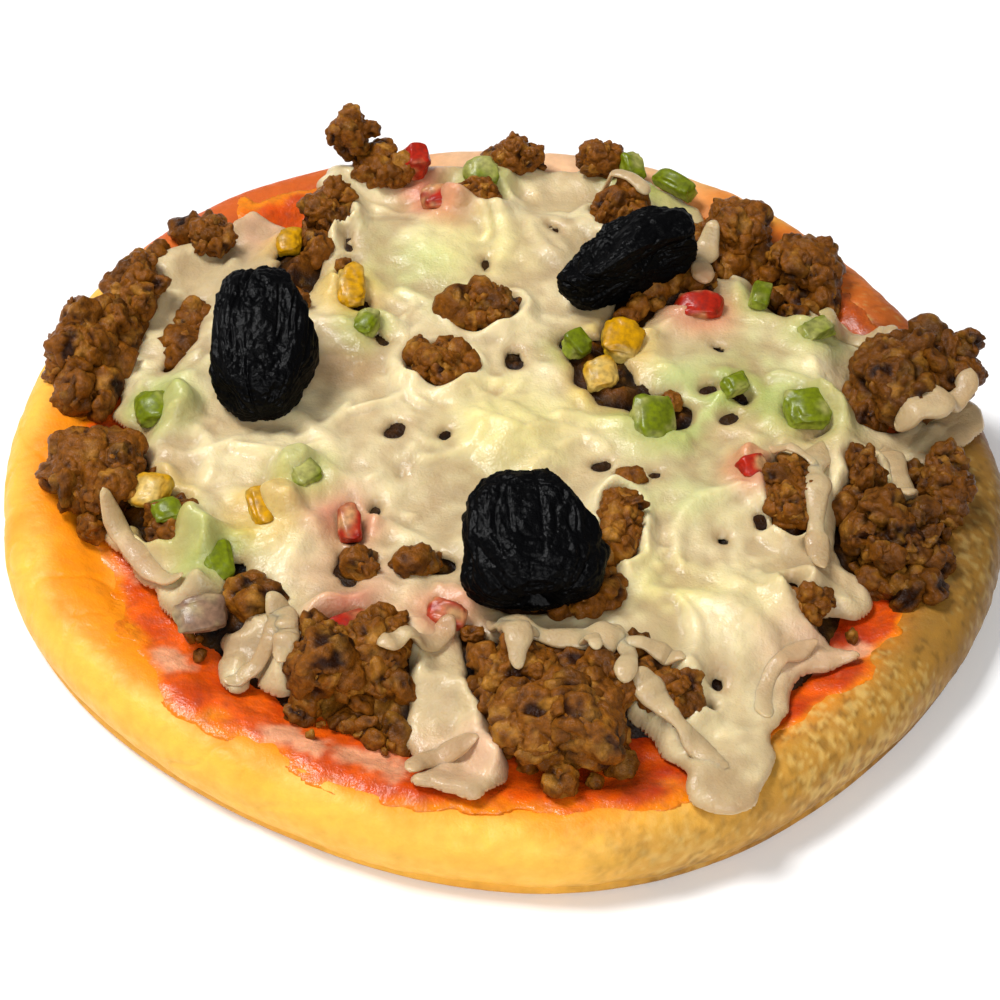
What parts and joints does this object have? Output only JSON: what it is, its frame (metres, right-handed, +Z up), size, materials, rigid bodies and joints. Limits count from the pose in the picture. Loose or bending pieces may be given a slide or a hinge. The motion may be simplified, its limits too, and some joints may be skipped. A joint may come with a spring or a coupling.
{
  "type": "minced meat pizza",
  "caption": "Small round pizza with a low rounded rim, tomato sauce, crumbled browned meat, diced peppers, melted cheese in runs and holes, and black olives on top.",
  "frame": {"origin": "middle of the crust's flat underside", "axes": "+Z up through the toppings; +X to the right and -Y towards the viewer as the pizza is pictured"},
  "size_m": [0.1506, 0.1495, 0.0275],
  "materials": {
    "crust": "baked dough, pale gold, tan and grainy on one side",
    "tomato_sauce": "oily cooked tomato sauce",
    "minced_meat": "browned crumbled meat, slightly greasy",
    "cheese": "melted cheese, cream, moist",
    "olive": "wrinkled oily black skin",
    "green_pepper": "cooked pepper flesh and skin",
    "yellow_pepper": "cooked pepper flesh and skin",
    "red_pepper": "cooked pepper flesh and skin",
    "onion": "cooked translucent onion"
  },
  "bodies": {
    "root": {"cheese": "cheese", "crust": "crust", "green_pepper_01": "green_pepper", "green_pepper_02": "green_pepper", "green_pepper_03": "green_pepper", "green_pepper_04": "green_pepper", "green_pepper_05": "green_pepper", "green_pepper_06": "green_pepper", "green_pepper_07": "green_pepper", "green_pepper_08": "green_pepper", "green_pepper_09": "green_pepper", "green_pepper_10": "green_pepper", "green_pepper_11": "green_pepper", "green_pepper_12": "green_pepper", "green_pepper_13": "green_pepper", "green_pepper_14": "green_pepper", "minced_meat_01": "minced_meat", "minced_meat_02": "minced_meat", "minced_meat_03": "minced_meat", "minced_meat_04": "minced_meat", "minced_meat_05": "minced_meat", "minced_meat_06": "minced_meat", "minced_meat_07": "minced_meat", "minced_meat_08": "minced_meat", "minced_meat_09": "minced_meat", "minced_meat_10": "minced_meat", "minced_meat_11": "minced_meat", "minced_meat_12": "minced_meat", "minced_meat_13": "minced_meat", "minced_meat_14": "minced_meat", "minced_meat_15": "minced_meat", "minced_meat_16": "minced_meat", "minced_meat_17": "minced_meat", "minced_meat_18": "minced_meat", "minced_meat_19": "minced_meat", "minced_meat_20": "minced_meat", "minced_meat_21": "minced_meat", "minced_meat_22": "minced_meat", "minced_meat_23": "minced_meat", "minced_meat_24": "minced_meat", "minced_meat_25": "minced_meat", "minced_meat_bed": "minced_meat", "olive_back": "olive", "olive_front": "olive", "olive_left": "olive", "onion_01": "onion", "red_pepper_01": "red_pepper", "red_pepper_02": "red_pepper", "red_pepper_03": "red_pepper", "red_pepper_04": "red_pepper", "red_pepper_05": "red_pepper", "red_pepper_06": "red_pepper", "red_pepper_07": "red_pepper", "tomato_sauce": "tomato_sauce", "yellow_pepper_01": "yellow_pepper", "yellow_pepper_02": "yellow_pepper", "yellow_pepper_03": "yellow_pepper", "yellow_pepper_04": "yellow_pepper", "yellow_pepper_05": "yellow_pepper", "yellow_pepper_06": "yellow_pepper"}
  },
  "joints": []
}
